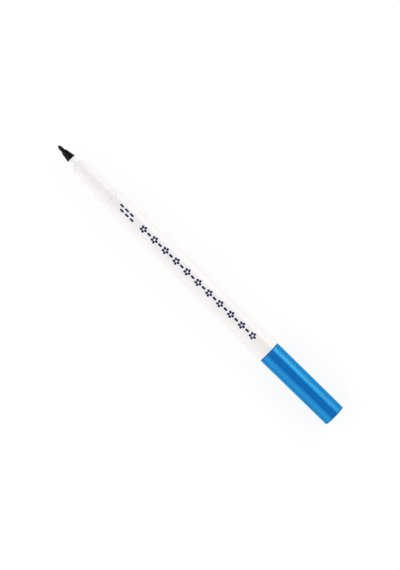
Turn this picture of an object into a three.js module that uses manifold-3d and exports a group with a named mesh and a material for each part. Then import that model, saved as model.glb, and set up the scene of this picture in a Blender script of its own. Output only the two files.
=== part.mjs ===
// A fine fabric-marking fibre pen, lying on its side with its cap pushed onto the rear end.
// Millimetres, +Z up. The pen's axis runs along +X from the nib to the closed end of the cap,
// and the origin is on the resting surface, under the middle of the pen.
import * as THREE from "three";
import { mergeVertices } from "three/addons/utils/BufferGeometryUtils.js";
import Module from "manifold-3d";

// Nib: a rod of bonded fibre, rounded in front and pointed where it enters the ink reservoir.
const nibDiameter = 1.6;
const nibExposure = 3;
const nibRoundLength = 1.9;
const nibPenetration = 6;
const nibRearPointLength = 1.2;
const nibRearPointDiameter = 0.5;

// Nib holder: a cone with a spigot that is pressed into the collar of the barrel.
const holderTipDiameter = 2.3;
const holderBaseDiameter = 3.8;
const holderConeLength = 4.25;
const holderTipRadius = 0.12;
const spigotDiameter = 2.9;
const spigotLength = 7.6;
const spigotChamfer = 0.3;
const barbHeight = 0.06;
const barbLength = 0.7;
const barbPitch = 1.6;
const barbCount = 2;
const ventGrooveWidth = 0.5;
const ventGrooveDepth = 0.3;
const ventNotchHeight = 0.25;
const ventGrooveCount = 2;
const nibFunnelLength = 1;
const nibFunnelWidening = 0.2;

// Barrel: collar, nose taper, neck and body in one moulding, drafted towards its open rear end.
const collarDiameter = 4.2;
const collarLength = 3.05;
const collarEdge = 0.12;
const noseTaperLength = 1.6;
const noseFace = 0.4;
const capSeatDiameter = 7.5;
const neckLength = 17.65;
const neckWall = 0.9;
const neckRootRadius = 0.75;
const bodyFrontDiameter = 10;
const bodyRearDiameter = 10.2;
const bodyLength = 84.45;
const bodyWall = 0.9;
const shoulderRadius = 0.35;
const boreChamfer = 0.3;
const stopRibLength = 3;
const stopRibThickness = 0.8;
const stopRibInnerDiameter = 3.8;
const stopRibCount = 4;
const centringRibLength = 60;
const centringRibThickness = 0.7;
const centringRibCount = 6;

// Snap bead on the neck and on the tail post, and the groove inside the cap that drops over it.
const snapBeadHeight = 0.1;
const snapBeadWidth = 0.9;
const snapBeadSetback = 2.5;
const snapGrooveMargin = 0.25;

// Ink reservoir: a fibre core in a thin plastic sleeve, held between the stop ribs and the tail plug.
const sleeveWall = 0.12;
const sleeveSetback = 0.4;

// Tail plug: spigot in the barrel, flange over the barrel's end and a hollow post for the cap.
const plugSpigotLength = 7;
const plugSpigotChamfer = 0.4;
const flangeThickness = 1;
const flangeEdgeRadius = 0.2;
const postLength = 14;
const postWall = 0.9;
const postEndWall = 1.2;
const postEndRadius = 0.8;
const reservoirGrip = 4;
const plugRibThickness = 0.7;
const plugRibInnerDiameter = 3.2;
const plugRibCount = 4;

// Cap and the inner cap that keeps the nib moist when the cap closes over the front.
const capMouthDiameter = 9.6;
const capEndDiameter = 9.45;
const capEndWall = 1.1;
const capEndRadius = 0.4;
const capMouthRadius = 0.25;
const capMouthChamfer = 0.35;
const nibRoom = 5.2;
const innerCapDiameter = 7.2;
const innerCapWall = 0.8;
const innerCapEndWall = 0.9;
const innerCapLipLength = 1.2;
const innerCapLipChamfer = 0.25;

// Clearances between pieces: radial for what slides or is pressed in, axial where faces meet.
const nibClearance = 0.05;
const pressClearance = 0.04;
const capSlideClearance = 0.04;
const sleeveClearance = 0.12;
const coreClearance = 0.03;
const innerCapClearance = 0.05;
const sealClearance = 0.06;
const seatGap = 0.05;
const nibHoleGap = 0.3;

// Every round piece has the same number of flats, so concentric pieces keep their clearance.
const flatCount = 32;
const arcSteps = 4;
const cutMargin = 1;

// Sizes that follow from the ones above.
const neckBoreRadius = capSeatDiameter / 2 - neckWall;
const postBoreRadius = capSeatDiameter / 2 - postWall;
const reservoirSpaceRadius = Math.min(neckBoreRadius, postBoreRadius);
const sleeveRadius = reservoirSpaceRadius - sleeveClearance;
const coreRadius = sleeveRadius - sleeveWall - coreClearance;
const nibBoreRadius = nibDiameter / 2 + nibClearance;
const capBoreRadius = capSeatDiameter / 2 + snapBeadHeight + capSlideClearance;
const bodyBoreRearRadius = bodyRearDiameter / 2 - bodyWall;
const innerCapSeatRadius = innerCapDiameter / 2 + innerCapClearance;

// Stations along the pen's axis, measured from the tip of the nib.
const holderStation = nibExposure;
const collarStation = holderStation + holderConeLength + seatGap;
const noseStation = collarStation + collarLength;
const neckStation = noseStation + noseTaperLength;
const shoulderStation = neckStation + neckLength;
const barrelEndStation = shoulderStation + bodyLength;
const reservoirStation = neckStation + noseFace + stopRibLength + seatGap;
const plugStation = barrelEndStation + seatGap;
const plugRibStation = plugStation - plugSpigotLength + reservoirGrip;
const capStation = plugStation + flangeThickness + seatGap;
const capLength = shoulderStation + nibRoom + capEndWall;
const totalLength = capStation + capLength;
const reservoirLength = plugRibStation - seatGap - reservoirStation;
const nibLength = reservoirStation + nibPenetration;
const innerCapMouthDepth = shoulderStation - noseStation + 2 * seatGap;
const innerCapLength = capLength - capEndWall - seatGap - innerCapMouthDepth;
const restRadius = Math.max(bodyFrontDiameter, bodyRearDiameter, capMouthDiameter) / 2;

const wasm = await Module();
wasm.setup();

// Turns an outline of (radius, station) into a round piece along +Y, whose flats touch the true circle.
function turned(outline) {
  const flatToCorner = 1 / Math.cos(Math.PI / flatCount);
  const points = outline
    .getPoints(arcSteps)
    .map((point) => new THREE.Vector2(Math.max(0, point.x) * flatToCorner, point.y));
  return new THREE.LatheGeometry(points, flatCount, Math.PI / flatCount);
}

// A quarter round from the current point to (x, y), bulging towards the corner (cornerX, cornerY).
function roundCorner(outline, cornerX, cornerY, x, y) {
  const start = outline.currentPoint.clone();
  const centre = new THREE.Vector2(start.x + x - cornerX, start.y + y - cornerY);
  const radius = centre.distanceTo(start);
  const startAngle = Math.atan2(start.y - centre.y, start.x - centre.x);
  const endAngle = Math.atan2(y - centre.y, x - centre.x);
  const turn = Math.atan2(Math.sin(endAngle - startAngle), Math.cos(endAngle - startAngle));
  outline.absarc(centre.x, centre.y, radius, startAngle, endAngle, turn < 0);
}

// A low bead or groove: a shallow rounded wave of the given height between two stations.
function snapWave(outline, radius, height, from, to) {
  const middle = (from + to) / 2;
  const shoulder = (to - from) / 4;
  outline.lineTo(radius, from);
  outline.bezierCurveTo(radius, from + shoulder, radius + height, from + shoulder, radius + height, middle);
  outline.bezierCurveTo(radius + height, to - shoulder, radius, to - shoulder, radius, to);
}

function toSolid(geometry) {
  const bare = geometry.clone();
  bare.deleteAttribute("normal");
  bare.deleteAttribute("uv");
  const merged = mergeVertices(bare);
  const vertProperties = new Float32Array(merged.getAttribute("position").array);
  const triVerts = new Uint32Array(merged.getIndex().array);
  return new wasm.Manifold(new wasm.Mesh({ numProp: 3, vertProperties, triVerts }));
}

function toGeometry(solid) {
  const mesh = solid.getMesh();
  const geometry = new THREE.BufferGeometry();
  geometry.setAttribute("position", new THREE.BufferAttribute(mesh.vertProperties, mesh.numProp));
  geometry.setIndex(new THREE.BufferAttribute(mesh.triVerts, 1));
  const flat = geometry.toNonIndexed();
  flat.computeVertexNormals();
  return flat;
}

// Blades that stand around the axis: each runs from one radius to another, between two stations.
function radialBlades(count, thickness, innerRadius, outerRadius, from, to) {
  const blades = [];
  for (let index = 0; index < count; index += 1) {
    const blade = new THREE.BoxGeometry(outerRadius - innerRadius, to - from, thickness);
    blade.translate((innerRadius + outerRadius) / 2, (from + to) / 2, 0);
    blade.rotateY((index * 2 * Math.PI) / count);
    blades.push(toSolid(blade));
  }
  return blades;
}

// The nib's outline starts at its rounded tip and ends at the blunt point inside the reservoir.
function makeNib() {
  const radius = nibDiameter / 2;
  const outline = new THREE.Path().moveTo(0, 0);
  outline.absellipse(0, nibRoundLength, radius, nibRoundLength, -Math.PI / 2, 0, false);
  outline.lineTo(radius, nibLength - nibRearPointLength);
  outline.lineTo(nibRearPointDiameter / 2, nibLength);
  outline.lineTo(0, nibLength);
  return turned(outline);
}

// Cone in front, spigot with barbs behind, and grooves that let air past the spigot into the barrel.
function makeNibHolder() {
  const tipRadius = holderTipDiameter / 2;
  const spigotRadius = spigotDiameter / 2;
  const end = holderConeLength + spigotLength;
  const outline = new THREE.Path().moveTo(nibBoreRadius, 0);
  outline.lineTo(tipRadius - holderTipRadius, 0);
  roundCorner(outline, tipRadius, 0, tipRadius, holderTipRadius);
  outline.lineTo(holderBaseDiameter / 2, holderConeLength);
  outline.lineTo(spigotRadius - barbHeight, holderConeLength);
  for (let index = 0; index < barbCount; index += 1) {
    const barbStart = holderConeLength + barbPitch * (index + 1);
    outline.lineTo(spigotRadius - barbHeight, barbStart);
    outline.lineTo(spigotRadius, barbStart);
    outline.lineTo(spigotRadius - barbHeight, barbStart + barbLength);
  }
  outline.lineTo(spigotRadius - barbHeight, end - spigotChamfer);
  outline.lineTo(spigotRadius - barbHeight - spigotChamfer, end);
  outline.lineTo(nibBoreRadius + nibFunnelWidening, end);
  outline.lineTo(nibBoreRadius, end - nibFunnelLength);
  outline.lineTo(nibBoreRadius, 0);
  const grooveFloor = spigotRadius - ventGrooveDepth;
  const grooves = radialBlades(
    ventGrooveCount,
    ventGrooveWidth,
    grooveFloor,
    holderBaseDiameter / 2 + cutMargin,
    holderConeLength - ventNotchHeight,
    end + cutMargin,
  );
  return toGeometry(grooves.reduce((holder, groove) => holder.subtract(groove), toSolid(turned(outline))));
}

// The barrel's outside runs from the collar's face to the open rear, and its bore runs back again.
// Stations here count from the collar's face.
function makeBarrel() {
  const collarRadius = collarDiameter / 2;
  const neckRadius = capSeatDiameter / 2;
  const seatRadius = spigotDiameter / 2 + pressClearance;
  const bodyFrontRadius = bodyFrontDiameter / 2;
  const bodyRearRadius = bodyRearDiameter / 2;
  const bodyBoreFrontRadius = bodyFrontRadius - bodyWall;
  const nose = collarLength;
  const neck = nose + noseTaperLength;
  const shoulder = neck + neckLength;
  const end = shoulder + bodyLength;
  const bead = shoulder - snapBeadSetback;
  const boreFront = neck + noseFace;
  const boreStep = shoulder + neckWall;
  const outline = new THREE.Path().moveTo(seatRadius, 0);
  outline.lineTo(collarRadius - collarEdge, 0);
  roundCorner(outline, collarRadius, 0, collarRadius, collarEdge);
  outline.lineTo(collarRadius, nose);
  outline.lineTo(neckRadius - neckRootRadius, neck - neckRootRadius);
  outline.quadraticCurveTo(neckRadius, neck, neckRadius, neck + neckRootRadius);
  snapWave(outline, neckRadius, snapBeadHeight, bead - snapBeadWidth / 2, bead + snapBeadWidth / 2);
  outline.lineTo(neckRadius, shoulder);
  outline.lineTo(bodyFrontRadius - shoulderRadius, shoulder);
  roundCorner(outline, bodyFrontRadius, shoulder, bodyFrontRadius, shoulder + shoulderRadius);
  outline.lineTo(bodyRearRadius, end);
  outline.lineTo(bodyBoreRearRadius + boreChamfer, end);
  outline.lineTo(bodyBoreRearRadius, end - boreChamfer);
  outline.lineTo(bodyBoreFrontRadius, boreStep + bodyBoreFrontRadius - neckBoreRadius);
  outline.lineTo(neckBoreRadius, boreStep);
  outline.lineTo(neckBoreRadius, boreFront);
  outline.lineTo(seatRadius, boreFront);
  outline.lineTo(seatRadius, 0);
  const stopRibs = radialBlades(
    stopRibCount,
    stopRibThickness,
    stopRibInnerDiameter / 2,
    neckBoreRadius + neckWall / 2,
    boreFront - noseFace / 2,
    boreFront + stopRibLength,
  );
  const centringRibs = radialBlades(
    centringRibCount,
    centringRibThickness,
    neckBoreRadius,
    bodyBoreFrontRadius + bodyWall / 2,
    boreStep + neckWall / 2,
    boreStep + centringRibLength,
  );
  const ribs = [...stopRibs, ...centringRibs];
  return toGeometry(ribs.reduce((barrel, rib) => barrel.add(rib), toSolid(turned(outline))));
}

// The fibre core has a hole in front, in which the rear of the nib draws the ink.
function makeInkReservoir() {
  const holeDepth = nibPenetration + nibHoleGap;
  const outline = new THREE.Path().moveTo(0, holeDepth);
  outline.lineTo(nibRearPointDiameter / 2 + nibClearance, holeDepth);
  outline.lineTo(nibBoreRadius, holeDepth - nibRearPointLength);
  outline.lineTo(nibBoreRadius, 0);
  outline.lineTo(coreRadius, 0);
  outline.lineTo(coreRadius, reservoirLength);
  outline.lineTo(0, reservoirLength);
  return turned(outline);
}

// The sleeve is open at both ends and a little shorter than the core, so ink and air can pass.
function makeReservoirSleeve() {
  const front = sleeveSetback;
  const rear = reservoirLength - sleeveSetback;
  const outline = new THREE.Path().moveTo(sleeveRadius - sleeveWall, front);
  outline.lineTo(sleeveRadius, front);
  outline.lineTo(sleeveRadius, rear);
  outline.lineTo(sleeveRadius - sleeveWall, rear);
  outline.lineTo(sleeveRadius - sleeveWall, front);
  return turned(outline);
}

// The plug's outside runs from the spigot's open end over the flange to the closed end of the post.
// Stations here count from the face of the flange that meets the barrel.
function makeTailPlug() {
  const spigotRadius = bodyBoreRearRadius - pressClearance;
  const flangeRadius = bodyRearDiameter / 2;
  const postRadius = capSeatDiameter / 2;
  const postStart = flangeThickness;
  const postEnd = postStart + postLength;
  const bead = postStart + snapBeadSetback;
  const outline = new THREE.Path().moveTo(0, postEnd - postEndWall);
  outline.lineTo(postBoreRadius, postEnd - postEndWall);
  outline.lineTo(postBoreRadius, -plugSpigotLength);
  outline.lineTo(spigotRadius - plugSpigotChamfer, -plugSpigotLength);
  outline.lineTo(spigotRadius, plugSpigotChamfer - plugSpigotLength);
  outline.lineTo(spigotRadius, 0);
  outline.lineTo(flangeRadius, 0);
  outline.lineTo(flangeRadius, flangeThickness - flangeEdgeRadius);
  roundCorner(outline, flangeRadius, flangeThickness, flangeRadius - flangeEdgeRadius, flangeThickness);
  outline.lineTo(postRadius, postStart);
  snapWave(outline, postRadius, snapBeadHeight, bead - snapBeadWidth / 2, bead + snapBeadWidth / 2);
  outline.lineTo(postRadius, postEnd - postEndRadius);
  roundCorner(outline, postRadius, postEnd, postRadius - postEndRadius, postEnd);
  outline.lineTo(0, postEnd);
  const ribs = radialBlades(
    plugRibCount,
    plugRibThickness,
    plugRibInnerDiameter / 2,
    postBoreRadius + postWall / 2,
    reservoirGrip - plugSpigotLength,
    postEnd - postEndWall / 2,
  );
  return toGeometry(ribs.reduce((plug, rib) => plug.add(rib), toSolid(turned(outline))));
}

// The cap's bore steps in where it holds the inner cap. Stations count from the cap's mouth.
function makeCap() {
  const mouthRadius = capMouthDiameter / 2;
  const endRadius = capEndDiameter / 2;
  const boreEnd = capLength - capEndWall;
  const bead = snapBeadSetback - seatGap;
  const grooveHalf = snapBeadWidth / 2 + snapGrooveMargin;
  const outline = new THREE.Path().moveTo(0, boreEnd);
  outline.lineTo(innerCapSeatRadius, boreEnd);
  outline.lineTo(innerCapSeatRadius, innerCapMouthDepth - seatGap);
  outline.lineTo(capBoreRadius, innerCapMouthDepth - seatGap);
  snapWave(outline, capBoreRadius, snapBeadHeight, bead + grooveHalf, bead - grooveHalf);
  outline.lineTo(capBoreRadius, capMouthChamfer);
  outline.lineTo(capBoreRadius + capMouthChamfer, 0);
  outline.lineTo(mouthRadius - capMouthRadius, 0);
  roundCorner(outline, mouthRadius, 0, mouthRadius, capMouthRadius);
  outline.lineTo(endRadius, capLength - capEndRadius);
  roundCorner(outline, endRadius, capLength, endRadius - capEndRadius, capLength);
  outline.lineTo(0, capLength);
  return turned(outline);
}

// A deep cup with a thick lip, which closes round the collar when the cap covers the nib.
function makeInnerCap() {
  const radius = innerCapDiameter / 2;
  const lipRadius = collarDiameter / 2 + sealClearance;
  const cavityRadius = radius - innerCapWall;
  const taper = cavityRadius - lipRadius;
  const outline = new THREE.Path().moveTo(0, innerCapLength - innerCapEndWall);
  outline.lineTo(cavityRadius, innerCapLength - innerCapEndWall);
  outline.lineTo(cavityRadius, innerCapLipLength + taper);
  outline.lineTo(lipRadius, innerCapLipLength);
  outline.lineTo(lipRadius, innerCapLipChamfer);
  outline.lineTo(lipRadius + innerCapLipChamfer, 0);
  outline.lineTo(radius, 0);
  outline.lineTo(radius, innerCapLength);
  outline.lineTo(0, innerCapLength);
  return turned(outline);
}

function makePiece(name, geometry, station, color, roughness) {
  const material = new THREE.MeshStandardMaterial({ color, roughness, metalness: 0 });
  const piece = new THREE.Mesh(geometry, material);
  piece.name = name;
  piece.position.y = station;
  return piece;
}

// The writing half: everything that stays together when the cap is pulled off.
const penBody = new THREE.Group();
penBody.add(
  makePiece("nib", makeNib(), 0, "#26262b", 0.95),
  makePiece("nib_holder", makeNibHolder(), holderStation, "#17161b", 0.35),
  makePiece("barrel", makeBarrel(), collarStation, "#f4f2f0", 0.3),
  makePiece("ink_reservoir", makeInkReservoir(), reservoirStation, "#9fc3e6", 1),
  makePiece("reservoir_sleeve", makeReservoirSleeve(), reservoirStation, "#e9edf0", 0.25),
  makePiece("tail_plug", makeTailPlug(), plugStation, "#f2f0ee", 0.32),
);

// The cap and its liner, in a frame that starts at the cap's mouth.
const capGroup = new THREE.Group();
capGroup.position.y = capStation;
capGroup.add(
  makePiece("cap", makeCap(), 0, "#1788cf", 0.25),
  makePiece("inner_cap", makeInnerCap(), innerCapMouthDepth, "#e6e9ea", 0.4),
);

// The pen is built along +Y and then laid down along +X.
const marker = new THREE.Group();
marker.add(penBody, capGroup);
marker.rotation.z = -Math.PI / 2;
marker.position.set(-totalLength / 2, 0, restRadius);

export default marker;
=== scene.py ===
import math

import bmesh
import bpy
from mathutils import Matrix, Vector


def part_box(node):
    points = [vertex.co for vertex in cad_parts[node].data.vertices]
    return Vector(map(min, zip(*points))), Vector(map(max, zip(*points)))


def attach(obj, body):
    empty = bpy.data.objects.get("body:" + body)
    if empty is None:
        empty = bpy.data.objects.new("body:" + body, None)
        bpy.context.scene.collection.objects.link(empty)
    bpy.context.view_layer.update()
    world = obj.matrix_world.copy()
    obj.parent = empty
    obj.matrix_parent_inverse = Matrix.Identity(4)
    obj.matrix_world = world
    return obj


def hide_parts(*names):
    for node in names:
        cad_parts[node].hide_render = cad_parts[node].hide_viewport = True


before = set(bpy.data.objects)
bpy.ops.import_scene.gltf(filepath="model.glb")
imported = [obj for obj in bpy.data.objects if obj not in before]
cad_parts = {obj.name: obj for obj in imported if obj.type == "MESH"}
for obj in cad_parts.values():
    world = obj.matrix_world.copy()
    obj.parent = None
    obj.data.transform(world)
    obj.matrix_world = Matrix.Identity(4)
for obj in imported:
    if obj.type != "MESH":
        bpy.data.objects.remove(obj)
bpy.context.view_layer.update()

# A slim fibre-tip fabric marker lying on white paper, its cap pushed onto the rear end.
# Lengths below are in millimetres and angles in degrees. Stations run along the pen's axis from the
# tip of the nib. Steps are the parts into which a round or a straight run of an outline is cut.
MM = 0.001

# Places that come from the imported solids
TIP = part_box("nib")[0].x / MM
AXIS_HEIGHT = (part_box("tail_plug")[0].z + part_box("tail_plug")[1].z) / 2 / MM
NIB_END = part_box("nib")[1].x / MM - TIP
HOLDER_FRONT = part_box("nib_holder")[0].x / MM - TIP
HOLDER_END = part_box("nib_holder")[1].x / MM - TIP
COLLAR_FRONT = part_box("barrel")[0].x / MM - TIP
BARREL_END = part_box("barrel")[1].x / MM - TIP
PLUG_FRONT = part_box("tail_plug")[0].x / MM - TIP
POST_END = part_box("tail_plug")[1].x / MM - TIP
CAP_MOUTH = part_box("cap")[0].x / MM - TIP
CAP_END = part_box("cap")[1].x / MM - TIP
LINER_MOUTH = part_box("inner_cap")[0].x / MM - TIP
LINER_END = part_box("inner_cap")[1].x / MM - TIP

# Nib
NIB_RADIUS = 0.8
NIB_ROUND = 1.9
NIB_REAR_POINT = 1.2
NIB_REAR_RADIUS = 0.25
NIB_STEPS = 12
FIBRE_RIDGES = 26
FIBRE_RIDGE_HEIGHT = 0.012

# Nib holder
HOLDER_TIP_RADIUS = 1.15
HOLDER_BASE_RADIUS = 1.9
HOLDER_CONE = 4.25
HOLDER_CONE_STEPS = 8
HOLDER_TIP_ROUND = 0.12
HOLDER_BASE_ROUND = 0.06
NIB_BORE_RADIUS = 0.85
NIB_FUNNEL = 1.0
NIB_FUNNEL_WIDENING = 0.2
SPIGOT_RADIUS = 1.45
SPIGOT_CHAMFER = 0.3
BARB_HEIGHT = 0.06
BARB_LENGTH = 0.7
BARB_PITCH = 1.6
VENTS = 2
VENT_WIDTH = 0.5
VENT_DEPTH = 0.3
VENT_NOTCH = 0.25
VENT_CUTTER_MARGIN = 1.0

# Barrel
HOLDER_SEAT_RADIUS = 1.49
COLLAR_RADIUS = 2.1
COLLAR_LENGTH = 3.05
COLLAR_EDGE = 0.12
NOSE_TAPER = 1.6
NOSE_STEPS = 4
NOSE_FACE = 0.4
NECK_RADIUS = 3.75
NECK_LENGTH = 17.65
NECK_ROOT = 0.75
NECK_BORE_RADIUS = 2.85
BODY_FRONT_RADIUS = 5.0
BODY_REAR_RADIUS = 5.1
BODY_STEPS = 24
BODY_WALL = 0.9
SHOULDER_ROUND = 0.35
FOOT_GROOVE_WIDTH = 0.5
FOOT_GROOVE_DEPTH = 0.04
BARREL_END_ROUND = 0.02
BARREL_END_EASE = 0.0005
BORE_CHAMFER = 0.3
STOP_RIBS = 4
STOP_RIB_LENGTH = 3.0
STOP_RIB_THICKNESS = 0.8
STOP_RIB_INNER_RADIUS = 1.9
CENTRING_RIBS = 6
CENTRING_RIB_LENGTH = 60.0
CENTRING_RIB_THICKNESS = 0.7

# Places along the barrel where the collar ends, the neck begins and the body begins
NOSE = COLLAR_FRONT + COLLAR_LENGTH
NECK = NOSE + NOSE_TAPER
SHOULDER = NECK + NECK_LENGTH

# Snap bead of the neck and the tail post, and the groove in the cap
BEAD_HEIGHT = 0.1
BEAD_WIDTH = 0.9
BEAD_SETBACK = 2.5
GROOVE_MARGIN = 0.25

# Tail plug
PLUG_SPIGOT_RADIUS = 4.16
PLUG_SPIGOT = 7.0
PLUG_SPIGOT_CHAMFER = 0.4
FLANGE_THICKNESS = 1.0
FLANGE_ROUND = 0.2
FLANGE_EDGE = 0.02
FLANGE_SEAM = 0.006
POST_RADIUS = 3.75
POST_BORE_RADIUS = 2.85
POST_STEPS = 4
POST_END_WALL = 1.2
POST_END_ROUND = 0.8
PLUG_RIBS = 4
PLUG_RIB_THICKNESS = 0.7
PLUG_RIB_INNER_RADIUS = 1.6
RESERVOIR_GRIP = 4.0

# Cap
CAP_MOUTH_RADIUS = 4.8
CAP_END_RADIUS = 4.725
CAP_STEPS = 12
CAP_BORE_RADIUS = 3.89
CAP_MOUTH_ROUND = 0.45
CAP_MOUTH_CHAMFER = 0.35
CAP_END_WALL = 1.1
CAP_END_ROUND = 0.4
CAP_END_STEPS = 12
LINER_SEAT_RADIUS = 3.65
SEAT_GAP = 0.05

# Inner cap
LINER_RADIUS = 3.6
LINER_WALL = 0.8
LINER_END_WALL = 0.9
LINER_LIP = 1.2
LINER_LIP_RADIUS = 2.16
LINER_LIP_CHAMFER = 0.25

# Mark that the mould's gate leaves on a closed end: a shallow dish with a cut stub in it
GATE_DISH_RADIUS = 0.95
GATE_DISH_DEPTH = 0.14
GATE_STUB_RADIUS = 0.35
GATE_STUB_HEIGHT = 0.09

# Print along the top of the barrel: two rows of running stitch, then a garland
PRINT_START = 33.5
STITCHES_A_ROW = 3
STITCH_LENGTH = 1.9
STITCH_WIDTH = 0.8
STITCH_PITCH = 2.65
ROW_GAP = 1.45
GARLAND_START = 46.85
GARLAND_PITCH = 5.92
BLOSSOMS = 11
PETALS = 5
PETAL_ROOT = 0.36
PETAL_TIP = 1.55
PETAL_WIDTH = 1.0
PETAL_BLUNTNESS = 0.75
LINK_LENGTH = 1.8
LINK_WIDTH = 0.85

# The film of ink, how far it reaches into the barrel's skin, and the cells that it is drawn with
INK_THICKNESS = 0.008
INK_EMBEDDED = 0.006
INK_POINT = 0.01
INK_LEAF_FULLNESS = 0.8
INK_SECTION = 0.2
INK_SECTIONS_AT_LEAST = 10
INK_COLUMN = 0.16

# Turned pieces: sides round the axis, steps of a round and of a tiny one, the radius under which a
# ring is a point, and the distance under which two corners are one
SEGMENTS = 128
ARC_STEPS = 8
EDGE_STEPS = 4
POINT_RADIUS = 1e-6
SAME_CORNER = 1e-5

# Faces that meet at more than this angle are shaded with a crisp edge between them.
CRISP_ANGLE = 38

# Noise in every finish: detail of the patches and of the grain, the weight of the finer detail, and
# the range of values that the grain mostly fills
PATCH_DETAIL = 3.0
GRAIN_DETAIL = 4.0
NOISE_ROUGHNESS = 0.55
GRAIN_LOW = 0.3
GRAIN_HIGH = 0.7

# Paper: its size and cells, its tooth, and the share of even white in what the camera sees of it and
# in its mirror image in the pen
PAPER_HALF_WIDTH = 4000.0
PAPER_CELLS = 8
PAPER_TOOTH = 0.8
PAPER_TOOTH_DEPTH = 0.01
PAPER_TOOTH_STRENGTH = 0.3
PAPER_TOOTH_DETAIL = 3.0
PAPER_WHITE_SEEN = 0.85
PAPER_WHITE_MIRRORED = 0.6

# Room: brightness of its walls and of its ceiling, where 1 is white, and the angles from straight up
# between which the walls turn into the ceiling
WALL_LIGHT = 0.92
CEILING_LIGHT = 0.4
WALL_TOP = 60
CEILING_EDGE = 30

# Camera: straight above the pen, turned so that it lies across the picture as in the photograph. Pixel
# is the width that one pixel of the picture covers on the pen.
PICTURE_HEIGHT_PX = 570
SENSOR = 36.0
PIXEL = 0.3906
CAMERA_DISTANCE = 900.0
CAMERA_TURN = 44.344
CAMERA_ALONG = 2.12
CAMERA_ACROSS = -0.175
CAMERA_NEAREST = 10.0
CAMERA_FARTHEST = 20000.0


class Outline:
    """Half of a lengthwise section: points of (station, radius) from which a round piece is turned."""

    def __init__(self, station, radius):
        self.points = [Vector((station, radius))]

    def line(self, station, radius, steps=1):
        """A straight run to (station, radius)."""
        start = self.points[-1]
        end = Vector((station, radius))
        self.points += [start.lerp(end, step / steps) for step in range(1, steps + 1)]

    def quarter(self, station, radius, corner_station, corner_radius, steps=ARC_STEPS):
        """A quarter round to (station, radius) that bulges towards the corner given last."""
        start = self.points[-1]
        end = Vector((station, radius))
        centre = start + end - Vector((corner_station, corner_radius))
        for step in range(1, steps + 1):
            turn = math.pi / 2 * step / steps
            self.points.append(centre + math.cos(turn) * (start - centre) + math.sin(turn) * (end - centre))

    def wave(self, middle, width, height, towards=1):
        """A low rounded bead, or in the wall of a bore a groove of the same form.

        Towards is 1 where the outline runs to the rear, and -1 where it runs to the front.
        """
        radius = self.points[-1].y
        first = middle - towards * width / 2
        self.line(first, radius)
        steps = 2 * ARC_STEPS
        for step in range(1, steps + 1):
            lift = height * (1 - math.cos(2 * math.pi * step / steps)) / 2
            self.points.append(Vector((first + towards * width * step / steps, radius + lift)))

    def gate_mark(self, face):
        """The dish and stub of the gate in a closed rear face, down to the axis."""
        dish = face - GATE_DISH_DEPTH
        stub = dish + GATE_STUB_HEIGHT
        slope = GATE_DISH_DEPTH / 2
        self.line(face, GATE_DISH_RADIUS + slope)
        self.quarter(dish, GATE_DISH_RADIUS - slope, face, GATE_DISH_RADIUS - slope)
        self.line(dish, GATE_STUB_RADIUS)
        self.line(stub, GATE_STUB_RADIUS - slope / 2)
        self.line(stub, 0)


def round_axis(station, radius, turn):
    """A point round the pen's axis, in metres. Turn 0 is on top, and a quarter turn faces -Y."""
    across = -radius * math.sin(turn)
    up = AXIS_HEIGHT + radius * math.cos(turn)
    return Vector((TIP + station, across, up)) * MM


def turned(name, outline, ridges=0, ridge_height=0.0):
    """Turn an outline into a closed round mesh. Lengthwise ridges, where asked for, wave its radius."""
    mesh = bmesh.new()
    rings = []
    for station, radius in outline.points:
        if radius < POINT_RADIUS:
            rings.append([mesh.verts.new(round_axis(station, 0, 0))])
            continue
        ring = []
        for segment in range(SEGMENTS):
            turn = 2 * math.pi * segment / SEGMENTS
            relief = ridge_height * (math.sin(ridges * turn) - 1) / 2 * min(1, radius / NIB_RADIUS)
            ring.append(mesh.verts.new(round_axis(station, radius + relief, turn)))
        rings.append(ring)
    # An outline that starts on the axis ends on it too, and any other one closes on itself.
    through = len(rings[0]) > 1
    pairs = list(zip(rings, rings[1:] + rings[:1])) if through else list(zip(rings, rings[1:]))
    for ring, following in pairs:
        for segment in range(SEGMENTS):
            after = (segment + 1) % SEGMENTS
            corners = [ring[segment % len(ring)], ring[after % len(ring)]]
            corners += [following[after % len(following)], following[segment % len(following)]]
            corners = list(dict.fromkeys(corners))
            if len(corners) > 2:
                mesh.faces.new(corners)
    return finished_mesh(name, mesh)


def finished_mesh(name, mesh):
    """Give a mesh its object, with soft shading over its rounds and crisp edges between its faces."""
    bmesh.ops.remove_doubles(mesh, verts=mesh.verts, dist=SAME_CORNER * MM)
    bmesh.ops.recalc_face_normals(mesh, faces=mesh.faces)
    data = bpy.data.meshes.new(name)
    mesh.to_mesh(data)
    mesh.free()
    data.shade_smooth()
    data.set_sharp_from_angle(angle=math.radians(CRISP_ANGLE))
    piece = bpy.data.objects.new(name, data)
    bpy.context.scene.collection.objects.link(piece)
    return piece


def blades(name, count, thickness, inner, outer, start, end):
    """Flat blades that stand round the axis, from one radius to another and between two stations."""
    mesh = bmesh.new()
    for index in range(count):
        turn = math.pi / 2 + 2 * math.pi * index / count
        blade = bmesh.ops.create_cube(mesh, size=1)["verts"]
        size = Matrix.Diagonal((end - start, outer - inner, thickness, 1))
        bmesh.ops.transform(mesh, matrix=size, verts=blade)
        place = Matrix.Translation(((start + end) / 2, (inner + outer) / 2, 0))
        bmesh.ops.transform(mesh, matrix=place, verts=blade)
        bmesh.ops.rotate(mesh, cent=(0, 0, 0), matrix=Matrix.Rotation(turn, 3, "X"), verts=blade)
    bmesh.ops.scale(mesh, vec=(MM, MM, MM), verts=mesh.verts)
    bmesh.ops.translate(mesh, vec=round_axis(0, 0, 0), verts=mesh.verts)
    return finished_mesh(name, mesh)


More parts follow.
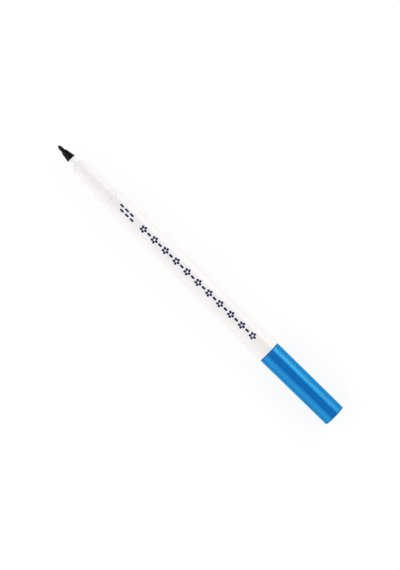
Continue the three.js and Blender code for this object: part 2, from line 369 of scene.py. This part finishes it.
def cut_or_join(piece, tools, operation):
    """Join the tools to a piece, or cut them out of it, and keep the result as its mesh."""
    for tool in tools:
        step = piece.modifiers.new("cut or join", "BOOLEAN")
        step.operation = operation
        step.solver = "EXACT"
        step.object = tool
    bpy.context.view_layer.update()
    shaped = piece.evaluated_get(bpy.context.evaluated_depsgraph_get())
    result = bpy.data.meshes.new_from_object(shaped)
    piece.modifiers.clear()
    plain = piece.data
    piece.data = result
    bpy.data.meshes.remove(plain)
    for tool in tools:
        bpy.data.meshes.remove(tool.data)
    piece.data.set_sharp_from_angle(angle=math.radians(CRISP_ANGLE))
    return piece


def level_faces(piece):
    """Let the wide faces lead the shading, so that flat ends stay flat beside their rounded edges."""
    shading = piece.modifiers.new("level faces", "WEIGHTED_NORMAL")
    shading.keep_sharp = True


def nib_piece():
    """The writing rod, with a round point in front and a drawn-in one behind, in the ink core."""
    outline = Outline(0, 0)
    outline.quarter(NIB_ROUND, NIB_RADIUS, 0, NIB_RADIUS, steps=2 * ARC_STEPS)
    outline.line(NIB_END - NIB_REAR_POINT, NIB_RADIUS, steps=NIB_STEPS)
    outline.line(NIB_END, NIB_REAR_RADIUS)
    outline.line(NIB_END, 0)
    return turned("fibre_nib", outline, FIBRE_RIDGES, FIBRE_RIDGE_HEIGHT)


def nib_holder_piece():
    """The cone that carries the nib, with a barbed spigot for the barrel and two slots for air."""
    base = HOLDER_FRONT + HOLDER_CONE
    # The cone goes on widening a little over its base round.
    widening = HOLDER_BASE_ROUND / 4
    root_radius = SPIGOT_RADIUS - BARB_HEIGHT
    outline = Outline(HOLDER_FRONT, NIB_BORE_RADIUS)
    outline.line(HOLDER_FRONT, HOLDER_TIP_RADIUS - HOLDER_TIP_ROUND)
    outline.quarter(HOLDER_FRONT + HOLDER_TIP_ROUND, HOLDER_TIP_RADIUS, HOLDER_FRONT, HOLDER_TIP_RADIUS)
    outline.line(base - HOLDER_BASE_ROUND, HOLDER_BASE_RADIUS - widening, steps=HOLDER_CONE_STEPS)
    outline.quarter(base, HOLDER_BASE_RADIUS - HOLDER_BASE_ROUND, base, HOLDER_BASE_RADIUS, EDGE_STEPS)
    outline.line(base, root_radius)
    for barb in (base + BARB_PITCH, base + 2 * BARB_PITCH):
        outline.line(barb, root_radius)
        outline.line(barb, SPIGOT_RADIUS)
        outline.line(barb + BARB_LENGTH, root_radius)
    outline.line(HOLDER_END - SPIGOT_CHAMFER, root_radius)
    outline.line(HOLDER_END, root_radius - SPIGOT_CHAMFER)
    outline.line(HOLDER_END, NIB_BORE_RADIUS + NIB_FUNNEL_WIDENING)
    outline.line(HOLDER_END - NIB_FUNNEL, NIB_BORE_RADIUS)
    holder = turned("tip_cone", outline)
    vents = blades(
        "vents", VENTS, VENT_WIDTH,
        inner=SPIGOT_RADIUS - VENT_DEPTH,
        outer=HOLDER_BASE_RADIUS + VENT_CUTTER_MARGIN,
        start=base - VENT_NOTCH,
        end=HOLDER_END + VENT_CUTTER_MARGIN,
    )
    return cut_or_join(holder, [vents], "DIFFERENCE")


def barrel_radius(station):
    """Outer radius of the drafted body at a station behind the shoulder."""
    share = (station - SHOULDER) / (BARREL_END - SHOULDER)
    return BODY_FRONT_RADIUS + share * (BODY_REAR_RADIUS - BODY_FRONT_RADIUS)


def barrel_piece():
    """The white moulding: collar, nose, neck with its bead, shoulder, drafted body, bore and ribs.

    A fine groove at the shoulder's foot makes the thin line between the neck and the body.
    """
    bore_front = NECK + NOSE_FACE
    bore_step = SHOULDER + NECK_RADIUS - NECK_BORE_RADIUS
    bore_radius = BODY_FRONT_RADIUS - BODY_WALL
    bore_end_radius = BODY_REAR_RADIUS - BODY_WALL
    # The body ends a hair inside the radius of the plug's flange.
    end_radius = BODY_REAR_RADIUS - BARREL_END_EASE
    rim_radius = BODY_REAR_RADIUS - BARREL_END_ROUND
    outline = Outline(COLLAR_FRONT, HOLDER_SEAT_RADIUS)
    outline.line(COLLAR_FRONT, COLLAR_RADIUS - COLLAR_EDGE)
    outline.quarter(COLLAR_FRONT + COLLAR_EDGE, COLLAR_RADIUS, COLLAR_FRONT, COLLAR_RADIUS)
    outline.line(NOSE, COLLAR_RADIUS, steps=NOSE_STEPS)
    outline.line(NECK - NECK_ROOT, NECK_RADIUS - NECK_ROOT, steps=NOSE_STEPS)
    outline.quarter(NECK + NECK_ROOT, NECK_RADIUS, NECK, NECK_RADIUS)
    outline.wave(SHOULDER - BEAD_SETBACK, BEAD_WIDTH, BEAD_HEIGHT)
    outline.line(SHOULDER - FOOT_GROOVE_WIDTH, NECK_RADIUS)
    outline.line(SHOULDER - FOOT_GROOVE_WIDTH, NECK_RADIUS - FOOT_GROOVE_DEPTH)
    outline.line(SHOULDER, NECK_RADIUS - FOOT_GROOVE_DEPTH)
    outline.line(SHOULDER, BODY_FRONT_RADIUS - SHOULDER_ROUND)
    outline.quarter(SHOULDER + SHOULDER_ROUND, BODY_FRONT_RADIUS, SHOULDER, BODY_FRONT_RADIUS)
    outline.line(BARREL_END - BARREL_END_ROUND, end_radius, steps=BODY_STEPS)
    outline.quarter(BARREL_END, rim_radius, BARREL_END, BODY_REAR_RADIUS, EDGE_STEPS)
    outline.line(BARREL_END, bore_end_radius + BORE_CHAMFER)
    outline.line(BARREL_END - BORE_CHAMFER, bore_end_radius)
    outline.line(bore_step + bore_radius - NECK_BORE_RADIUS, bore_radius)
    outline.line(bore_step, NECK_BORE_RADIUS)
    outline.line(bore_front, NECK_BORE_RADIUS)
    outline.line(bore_front, HOLDER_SEAT_RADIUS)
    barrel = turned("white_barrel", outline)
    # The ribs' roots reach into the middle of the wall.
    wall_middle = (NECK_RADIUS - NECK_BORE_RADIUS) / 2
    stop_ribs = blades(
        "stop_ribs", STOP_RIBS, STOP_RIB_THICKNESS,
        inner=STOP_RIB_INNER_RADIUS,
        outer=NECK_BORE_RADIUS + wall_middle,
        start=bore_front - NOSE_FACE / 2,
        end=bore_front + STOP_RIB_LENGTH,
    )
    centring_ribs = blades(
        "centring_ribs", CENTRING_RIBS, CENTRING_RIB_THICKNESS,
        inner=NECK_BORE_RADIUS,
        outer=bore_radius + BODY_WALL / 2,
        start=bore_step + wall_middle,
        end=bore_step + CENTRING_RIB_LENGTH,
    )
    return cut_or_join(barrel, [stop_ribs, centring_ribs], "UNION")


def tail_plug_piece():
    """The rear closure: a spigot in the barrel, a flange, and the hollow post that carries the cap.

    It is pressed home, so only a hairline is open between its flange and the barrel.
    """
    flange_face = BARREL_END + FLANGE_SEAM
    post = PLUG_FRONT + PLUG_SPIGOT + FLANGE_THICKNESS
    inner_end = POST_END - POST_END_WALL
    outline = Outline(inner_end, 0)
    outline.line(inner_end, POST_BORE_RADIUS)
    outline.line(PLUG_FRONT, POST_BORE_RADIUS)
    outline.line(PLUG_FRONT, PLUG_SPIGOT_RADIUS - PLUG_SPIGOT_CHAMFER)
    outline.line(PLUG_FRONT + PLUG_SPIGOT_CHAMFER, PLUG_SPIGOT_RADIUS)
    outline.line(flange_face, PLUG_SPIGOT_RADIUS)
    outline.line(flange_face, BODY_REAR_RADIUS - FLANGE_EDGE)
    outline.quarter(flange_face + FLANGE_EDGE, BODY_REAR_RADIUS, flange_face, BODY_REAR_RADIUS, EDGE_STEPS)
    outline.line(post - FLANGE_ROUND, BODY_REAR_RADIUS)
    outline.quarter(post, BODY_REAR_RADIUS - FLANGE_ROUND, post, BODY_REAR_RADIUS)
    outline.line(post, POST_RADIUS)
    outline.wave(post + BEAD_SETBACK, BEAD_WIDTH, BEAD_HEIGHT)
    outline.line(POST_END - POST_END_ROUND, POST_RADIUS, steps=POST_STEPS)
    outline.quarter(POST_END, POST_RADIUS - POST_END_ROUND, POST_END, POST_RADIUS)
    outline.gate_mark(POST_END)
    plug = turned("white_tail_plug", outline)
    ribs = blades(
        "plug_ribs", PLUG_RIBS, PLUG_RIB_THICKNESS,
        inner=PLUG_RIB_INNER_RADIUS,
        outer=(POST_RADIUS + POST_BORE_RADIUS) / 2,
        start=PLUG_FRONT + RESERVOIR_GRIP,
        end=POST_END - POST_END_WALL / 2,
    )
    return cut_or_join(plug, [ribs], "UNION")


def cap_piece():
    """The pull-off cap, with a groove in its bore for the snap bead and a seat for the inner cap."""
    bore_end = CAP_END - CAP_END_WALL
    liner_step = LINER_MOUTH - SEAT_GAP
    groove_middle = CAP_MOUTH + BEAD_SETBACK - SEAT_GAP
    groove_width = BEAD_WIDTH + 2 * GROOVE_MARGIN
    outline = Outline(bore_end, 0)
    outline.line(bore_end, LINER_SEAT_RADIUS)
    outline.line(liner_step, LINER_SEAT_RADIUS)
    outline.line(liner_step, CAP_BORE_RADIUS)
    outline.wave(groove_middle, groove_width, BEAD_HEIGHT, towards=-1)
    outline.line(CAP_MOUTH + CAP_MOUTH_CHAMFER, CAP_BORE_RADIUS)
    outline.line(CAP_MOUTH, CAP_BORE_RADIUS + CAP_MOUTH_CHAMFER)
    outline.line(CAP_MOUTH, CAP_MOUTH_RADIUS - CAP_MOUTH_ROUND)
    outline.quarter(CAP_MOUTH + CAP_MOUTH_ROUND, CAP_MOUTH_RADIUS, CAP_MOUTH, CAP_MOUTH_RADIUS)
    outline.line(CAP_END - CAP_END_ROUND, CAP_END_RADIUS, steps=CAP_STEPS)
    outline.quarter(CAP_END, CAP_END_RADIUS - CAP_END_ROUND, CAP_END, CAP_END_RADIUS, CAP_END_STEPS)
    outline.gate_mark(CAP_END)
    return turned("blue_cap", outline)


def inner_cap_piece():
    """The liner in the cap, whose lip closes round the barrel's collar when the pen is capped."""
    inner_end = LINER_END - LINER_END_WALL
    cavity_radius = LINER_RADIUS - LINER_WALL
    outline = Outline(inner_end, 0)
    outline.line(inner_end, cavity_radius)
    outline.line(LINER_MOUTH + LINER_LIP + cavity_radius - LINER_LIP_RADIUS, cavity_radius)
    outline.line(LINER_MOUTH + LINER_LIP, LINER_LIP_RADIUS)
    outline.line(LINER_MOUTH + LINER_LIP_CHAMFER, LINER_LIP_RADIUS)
    outline.quarter(LINER_MOUTH, LINER_LIP_RADIUS + LINER_LIP_CHAMFER, LINER_MOUTH, LINER_LIP_RADIUS)
    outline.line(LINER_MOUTH, LINER_RADIUS - LINER_LIP_CHAMFER)
    outline.quarter(LINER_MOUTH + LINER_LIP_CHAMFER, LINER_RADIUS, LINER_MOUTH, LINER_RADIUS)
    outline.line(LINER_END, LINER_RADIUS)
    outline.line(LINER_END, 0)
    return turned("cap_liner", outline)


def printed_stitch(mesh, start, end, width, blunt=1.0):
    """One stitch of ink on the barrel, between two spots of (station, distance round the barrel).

    Blunt 1 gives a dash with round ends, and 0 a pointed leaf.
    """
    start = Vector(start)
    end = Vector(end)
    along = (end - start).normalized()
    side = Vector((-along.y, along.x))
    half = width / 2
    whole = (end - start).length
    sections = max(INK_SECTIONS_AT_LEAST, 2 * math.ceil(whole / INK_SECTION))
    columns = math.ceil(width / INK_COLUMN)

    def corner(spot, lift):
        station, around = spot
        radius = barrel_radius(station) + lift
        return mesh.verts.new(round_axis(station, radius, around / barrel_radius(station)))

    rings = []
    for section in range(sections + 1):
        share = (1 - math.cos(math.pi * section / sections)) / 2
        drawn = share * whole
        to_end = min(drawn, whole - drawn)
        dash = math.sqrt(max(0.0, 1 - (1 - min(1, to_end / half)) ** 2))
        leaf = math.sin(math.pi * share) ** INK_LEAF_FULLNESS
        reach = max(INK_POINT, half * (blunt * dash + (1 - blunt) * leaf))
        middle = start + along * drawn
        row = [middle + side * reach * (2 * column / columns - 1) for column in range(columns + 1)]
        top = [corner(spot, INK_THICKNESS) for spot in row]
        base = [corner(spot, -INK_EMBEDDED) for spot in reversed(row)]
        rings.append(top + base)
    count = len(rings[0])
    for ring, following in zip(rings, rings[1:]):
        for edge in range(count):
            after = (edge + 1) % count
            mesh.faces.new((ring[edge], ring[after], following[after], following[edge]))
    for ring in (rings[0], rings[-1]):
        for edge in range(columns):
            mesh.faces.new((ring[edge], ring[edge + 1], ring[-2 - edge], ring[-1 - edge]))


def barrel_print_piece():
    """Two rows of running stitch, then a garland of blossoms with a stitch between each two."""
    mesh = bmesh.new()
    for index in range(STITCHES_A_ROW):
        for around, shift in ((-ROW_GAP / 2, 0), (ROW_GAP / 2, STITCH_PITCH / 2)):
            start = PRINT_START + STITCH_PITCH * index + shift
            printed_stitch(mesh, (start, around), (start + STITCH_LENGTH, around), STITCH_WIDTH)
    for index in range(BLOSSOMS):
        heart = Vector((GARLAND_START + GARLAND_PITCH * index, 0))
        for petal in range(PETALS):
            turn = 2 * math.pi * petal / PETALS
            ray = Vector((math.cos(turn), math.sin(turn)))
            root = heart + PETAL_ROOT * ray
            tip = heart + PETAL_TIP * ray
            printed_stitch(mesh, root, tip, PETAL_WIDTH, blunt=PETAL_BLUNTNESS)
        if index < BLOSSOMS - 1:
            middle = heart.x + GARLAND_PITCH / 2
            printed_stitch(mesh, (middle - LINK_LENGTH / 2, 0), (middle + LINK_LENGTH / 2, 0), LINK_WIDTH)
    return finished_mesh("barrel_print", mesh)


def srgb(hex_colour):
    """A colour written as sRGB hex, as the linear values that a shader takes."""
    channels = [int(hex_colour[place:place + 2], 16) / 255 for place in (1, 3, 5)]
    return [c / 12.92 if c <= 0.04045 else ((c + 0.055) / 1.055) ** 2.4 for c in channels] + [1.0]


def add_node(tree, kind, settings, links=None):
    """Add a node. Settings and links are keyed by input socket, by its name or number, or by property."""
    node = tree.nodes.new(kind)
    for key, value in settings.items():
        if isinstance(key, int) or key in node.inputs:
            node.inputs[key].default_value = value
        else:
            setattr(node, key, value)
    for key, source in (links or {}).items():
        tree.links.new(source, node.inputs[key])
    return node


# Sockets of the Mix node when it mixes colours
MIX_FIRST = 6
MIX_SECOND = 7
MIX_RESULT = 2


def finish_material(name, shader, colours, grain, relief, patches):
    """A procedural finish that is fixed to its piece.

    Grain and patches are pattern sizes in mm, along and across the pen. The grain varies the relief and
    the gloss, and the patches drift between the two colours. Relief is the bump's depth in mm.
    """
    material = bpy.data.materials.new(name)
    material.use_nodes = True
    tree = material.node_tree
    tree.nodes.clear()
    place = add_node(tree, "ShaderNodeTexCoord", {})

    def pattern(sizes, detail):
        scale = [1 / (size * MM) for size in (sizes[0], sizes[1], sizes[1])]
        mapped = add_node(tree, "ShaderNodeMapping", {"Scale": scale}, {"Vector": place.outputs["Object"]})
        settings = {"Scale": 1.0, "Detail": detail, "Roughness": NOISE_ROUGHNESS}
        return add_node(tree, "ShaderNodeTexNoise", settings, {"Vector": mapped.outputs["Vector"]})

    drift = pattern(patches, PATCH_DETAIL)
    colour = add_node(
        tree, "ShaderNodeMix",
        {"data_type": "RGBA", MIX_FIRST: srgb(colours[0]), MIX_SECOND: srgb(colours[1])},
        {"Factor": drift.outputs["Fac"]},
    )
    surface = pattern(grain, GRAIN_DETAIL)
    rough_from, rough_to = shader.pop("roughness")
    roughness = add_node(
        tree, "ShaderNodeMapRange",
        {"From Min": GRAIN_LOW, "From Max": GRAIN_HIGH, "To Min": rough_from, "To Max": rough_to},
        {"Value": surface.outputs["Fac"]},
    )
    bump = add_node(
        tree, "ShaderNodeBump",
        {"Strength": 1.0, "Distance": relief * MM},
        {"Height": surface.outputs["Fac"]},
    )
    body = add_node(
        tree, "ShaderNodeBsdfPrincipled", shader,
        {
            "Base Color": colour.outputs[MIX_RESULT],
            "Roughness": roughness.outputs["Result"],
            "Normal": bump.outputs["Normal"],
        },
    )
    add_node(tree, "ShaderNodeOutputMaterial", {}, {"Surface": body.outputs["BSDF"]})
    return material


# White polypropylene, injection moulded against a polished steel mould: an even, slightly warm white
# with a soft gloss, and only a trace of orange peel, so that its highlights stay smooth.
def white_polypropylene():
    return finish_material(
        "white_moulded_polypropylene",
        {"IOR": 1.49, "roughness": (0.26, 0.3), "Specular IOR Level": 0.36},
        colours=("#e2dfde", "#dfdcdb"),
        grain=(0.9, 0.6),
        relief=0.001,
        patches=(22.0, 6.0),
    )


# Blue polypropylene, injection moulded and polished: a deep, clean colour under a clear gloss. The coat
# stands for the clear depth of the plastic. It reflects little, and keeps the round edges blue.
def blue_polypropylene():
    return finish_material(
        "blue_moulded_polypropylene",
        {
            "IOR": 1.49,
            "roughness": (0.18, 0.21),
            "Specular IOR Level": 1.0,
            "Specular Tint": srgb("#8cf0ff"),
            "Coat Weight": 1.0,
            "Coat Roughness": 0.2,
            "Coat IOR": 1.05,
            "Coat Tint": srgb("#aeffff"),
        },
        colours=("#155eaf", "#135baa"),
        grain=(1.1, 0.7),
        relief=0.0008,
        patches=(14.0, 5.0),
    )


# Black engineering plastic of the cone, moulded with a fine satin skin: near black, with a dull sheen.
# The coat stands for that skin. It reflects little, and dims the sheen most where the cone turns away.
def black_moulded_plastic():
    return finish_material(
        "black_satin_plastic",
        {
            "IOR": 1.5,
            "roughness": (0.2, 0.27),
            "Specular IOR Level": 0.35,
            "Coat Weight": 1.0,
            "Coat Roughness": 0.2,
            "Coat IOR": 1.05,
            "Coat Tint": srgb("#b0b0bc"),
        },
        colours=("#020206", "#040409"),
        grain=(0.16, 0.12),
        relief=0.004,
        patches=(3.0, 1.5),
    )


# Bonded polyester fibre of the nib, ground to a round point and soaked with ink: matt and nearly
# black, with lengthwise fibres. Real fibres are about 0.02 mm wide, and here they are drawn wider to show.
def soaked_nib_fibre():
    return finish_material(
        "soaked_bonded_fibre",
        {
            "IOR": 1.45,
            "roughness": (0.75, 0.95),
            "Specular IOR Level": 0.1,
            "Sheen Weight": 0.02,
            "Sheen Roughness": 0.5,
        },
        colours=("#0f0f13", "#1f1f25"),
        grain=(1.6, 0.07),
        relief=0.02,
        patches=(1.2, 0.18),
    )


# Natural polyethylene of the inner cap, moulded and waxy: milky, with light bleeding through the wall.
def natural_polyethylene():
    return finish_material(
        "natural_polyethylene",
        {
            "IOR": 1.51,
            "roughness": (0.38, 0.5),
            "Subsurface Weight": 0.3,
            "Subsurface Radius": (1.0, 0.9, 0.8),
            "Subsurface Scale": 0.6 * MM,
        },
        colours=("#e6e9ea", "#dde2e4"),
        grain=(0.8, 0.5),
        relief=0.004,
        patches=(6.0, 3.0),
    )


# Polyester fibre of the ink core, crimped and drawn lengthwise, wet with pale blue ink: soft and matt,
# with fine streaks. Its fibres too are drawn wider than they are.
def soaked_core_fibre():
    return finish_material(
        "ink_soaked_fibre",
        {"IOR": 1.45, "roughness": (0.6, 0.9), "Sheen Weight": 0.3, "Sheen Roughness": 0.4},
        colours=("#9fc3e6", "#7fabd9"),
        grain=(4.0, 0.12),
        relief=0.03,
        patches=(9.0, 0.8),
    )


# Thin extruded polypropylene film round the core: nearly clear, glossy, with faint draw lines.
def clear_film():
    return finish_material(
        "extruded_clear_film",
        {"IOR": 1.49, "roughness": (0.12, 0.22), "Transmission Weight": 0.6},
        colours=("#e9edf0", "#dfe6ea"),
        grain=(9.0, 0.3),
        relief=0.003,
        patches=(15.0, 1.5),
    )


# Pad-printed ink, cured on the barrel: dense navy, slightly glossy, with a trace of the pad's texture.
def printed_ink():
    return finish_material(
        "navy_pad_print",
        {"IOR": 1.5, "roughness": (0.35, 0.5), "Specular IOR Level": 0.22},
        colours=("#0c0c48", "#111152"),
        grain=(0.15, 0.15),
        relief=0.001,
        patches=(2.5, 1.0),
    )


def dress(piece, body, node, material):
    """Put a finished piece on its body, in place of the solid of the same part if it has one."""
    piece.data.materials.clear()
    piece.data.materials.append(material)
    level_faces(piece)
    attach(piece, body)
    if node:
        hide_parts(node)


white = white_polypropylene()
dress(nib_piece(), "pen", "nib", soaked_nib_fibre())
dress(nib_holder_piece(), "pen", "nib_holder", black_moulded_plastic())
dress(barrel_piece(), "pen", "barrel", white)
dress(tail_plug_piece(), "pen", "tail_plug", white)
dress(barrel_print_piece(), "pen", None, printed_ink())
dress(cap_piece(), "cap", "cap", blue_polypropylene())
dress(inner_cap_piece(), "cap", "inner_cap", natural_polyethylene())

# The ink core and its sleeve keep their solids, and only take their finish.
for node, material in (("ink_reservoir", soaked_core_fibre()), ("reservoir_sleeve", clear_film())):
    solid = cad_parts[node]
    solid.data.materials.clear()
    solid.data.materials.append(material)


# Plain white paper, lit so that it reads as white: most of what the camera sees of it is even white,
# and the rest is a matt sheet with a fine tooth that takes a faint shadow.
def white_paper():
    material = bpy.data.materials.new("white_paper")
    material.use_nodes = True
    tree = material.node_tree
    tree.nodes.clear()
    place = add_node(tree, "ShaderNodeTexCoord", {})
    tooth = add_node(
        tree, "ShaderNodeTexNoise",
        {"Scale": 1 / (PAPER_TOOTH * MM), "Detail": PAPER_TOOTH_DETAIL},
        {"Vector": place.outputs["Object"]},
    )
    bump = add_node(
        tree, "ShaderNodeBump",
        {"Strength": PAPER_TOOTH_STRENGTH, "Distance": PAPER_TOOTH_DEPTH * MM},
        {"Height": tooth.outputs["Fac"]},
    )
    sheet = add_node(
        tree, "ShaderNodeBsdfDiffuse", {"Color": srgb("#fafafa")}, {"Normal": bump.outputs["Normal"]},
    )
    glow = add_node(tree, "ShaderNodeEmission", {"Color": srgb("#ffffff"), "Strength": 1.0})
    seen = add_node(tree, "ShaderNodeLightPath", {})
    mirrored = add_node(
        tree, "ShaderNodeMath", {"operation": "MAXIMUM"},
        {0: seen.outputs["Is Glossy Ray"], 1: seen.outputs["Is Transmission Ray"]},
    )
    mirrored_share = add_node(
        tree, "ShaderNodeMath",
        {"operation": "MULTIPLY", 1: PAPER_WHITE_MIRRORED},
        {0: mirrored.outputs[0]},
    )
    share = add_node(
        tree, "ShaderNodeMath",
        {"operation": "MULTIPLY_ADD", 1: PAPER_WHITE_SEEN},
        {0: seen.outputs["Is Camera Ray"], 2: mirrored_share.outputs[0]},
    )
    mixed = add_node(
        tree, "ShaderNodeMixShader", {},
        {0: share.outputs[0], 1: sheet.outputs[0], 2: glow.outputs[0]},
    )
    add_node(tree, "ShaderNodeOutputMaterial", {}, {"Surface": mixed.outputs[0]})
    return material


def floor():
    """A wide sheet of paper, level under the pen."""
    mesh = bmesh.new()
    half_width = PAPER_HALF_WIDTH * MM
    bmesh.ops.create_grid(mesh, x_segments=PAPER_CELLS, y_segments=PAPER_CELLS, size=half_width)
    sheet = finished_mesh("paper_floor", mesh)
    sheet.data.materials.append(white_paper())


def softbox(name, heading, zenith, spread, distance, length, radiance):
    """A rectangular light that faces the pen, its length level. Distance and length are in metres.

    Heading is in degrees from +X towards +Y, and zenith in degrees from straight up. Spread is the
    angle that the light's width fills, as seen from the pen, and radiance 1 is white.
    """
    width = 2 * distance * math.tan(math.radians(spread / 2))
    lamp = bpy.data.lights.new(name, "AREA")
    lamp.shape = "RECTANGLE"
    lamp.size = length
    lamp.size_y = width
    lamp.energy = radiance * math.pi * length * width
    box = bpy.data.objects.new(name, lamp)
    lean = math.radians(zenith)
    swing = math.radians(heading)
    middle = Vector((0, 0, AXIS_HEIGHT * MM))
    out = Vector((math.sin(lean) * math.cos(swing), math.sin(lean) * math.sin(swing), math.cos(lean)))
    box.location = middle + distance * out
    box.rotation_euler = (lean, 0, swing + math.pi / 2)
    box.visible_camera = False
    bpy.context.scene.collection.objects.link(box)


def studio():
    """A broad softbox either side of the pen with a brighter strip in one, and a weak one past the nib.

    The room round them is pale, and the camera sees it as white.
    """
    softbox("far_softbox", heading=90, zenith=61.5, spread=54, distance=0.5, length=0.26, radiance=2.2)
    softbox("far_strip", heading=90, zenith=56, spread=21, distance=0.49, length=0.235, radiance=2.7)
    softbox("near_softbox", heading=-90, zenith=62, spread=54, distance=0.5, length=0.62, radiance=1.44)
    softbox("nib_softbox", heading=-165, zenith=54, spread=44, distance=0.6, length=0.5, radiance=0.8)
    world = bpy.data.worlds.new("pale_room")
    bpy.context.scene.world = world
    world.use_nodes = True
    tree = world.node_tree
    tree.nodes.clear()
    way = add_node(tree, "ShaderNodeTexCoord", {})
    height = add_node(tree, "ShaderNodeSeparateXYZ", {}, {"Vector": way.outputs["Generated"]})
    room = add_node(
        tree, "ShaderNodeMapRange",
        {
            "interpolation_type": "SMOOTHSTEP",
            "From Min": math.cos(math.radians(WALL_TOP)),
            "From Max": math.cos(math.radians(CEILING_EDGE)),
            "To Min": WALL_LIGHT,
            "To Max": CEILING_LIGHT,
        },
        {"Value": height.outputs["Z"]},
    )
    seen = add_node(tree, "ShaderNodeLightPath", {})
    light = add_node(
        tree, "ShaderNodeMath", {"operation": "MAXIMUM"},
        {0: room.outputs["Result"], 1: seen.outputs["Is Camera Ray"]},
    )
    shown = add_node(
        tree, "ShaderNodeBackground", {"Color": srgb("#ffffff")}, {"Strength": light.outputs[0]},
    )
    add_node(tree, "ShaderNodeOutputWorld", {}, {"Surface": shown.outputs[0]})


def camera():
    """The camera looks straight down, and its lens takes in the whole pen with a wide margin."""
    eye = bpy.data.cameras.new("camera")
    eye.sensor_width = SENSOR
    eye.lens = SENSOR * CAMERA_DISTANCE / (PICTURE_HEIGHT_PX * PIXEL)
    eye.clip_start = CAMERA_NEAREST * MM
    eye.clip_end = CAMERA_FARTHEST * MM
    holder = bpy.data.objects.new("camera", eye)
    holder.location = Vector((CAMERA_ALONG, CAMERA_ACROSS, AXIS_HEIGHT + CAMERA_DISTANCE)) * MM
    holder.rotation_euler = (0, 0, math.radians(CAMERA_TURN))
    bpy.context.scene.collection.objects.link(holder)
    bpy.context.scene.camera = holder


floor()
studio()
camera()
bpy.context.scene.view_settings.view_transform = "Standard"
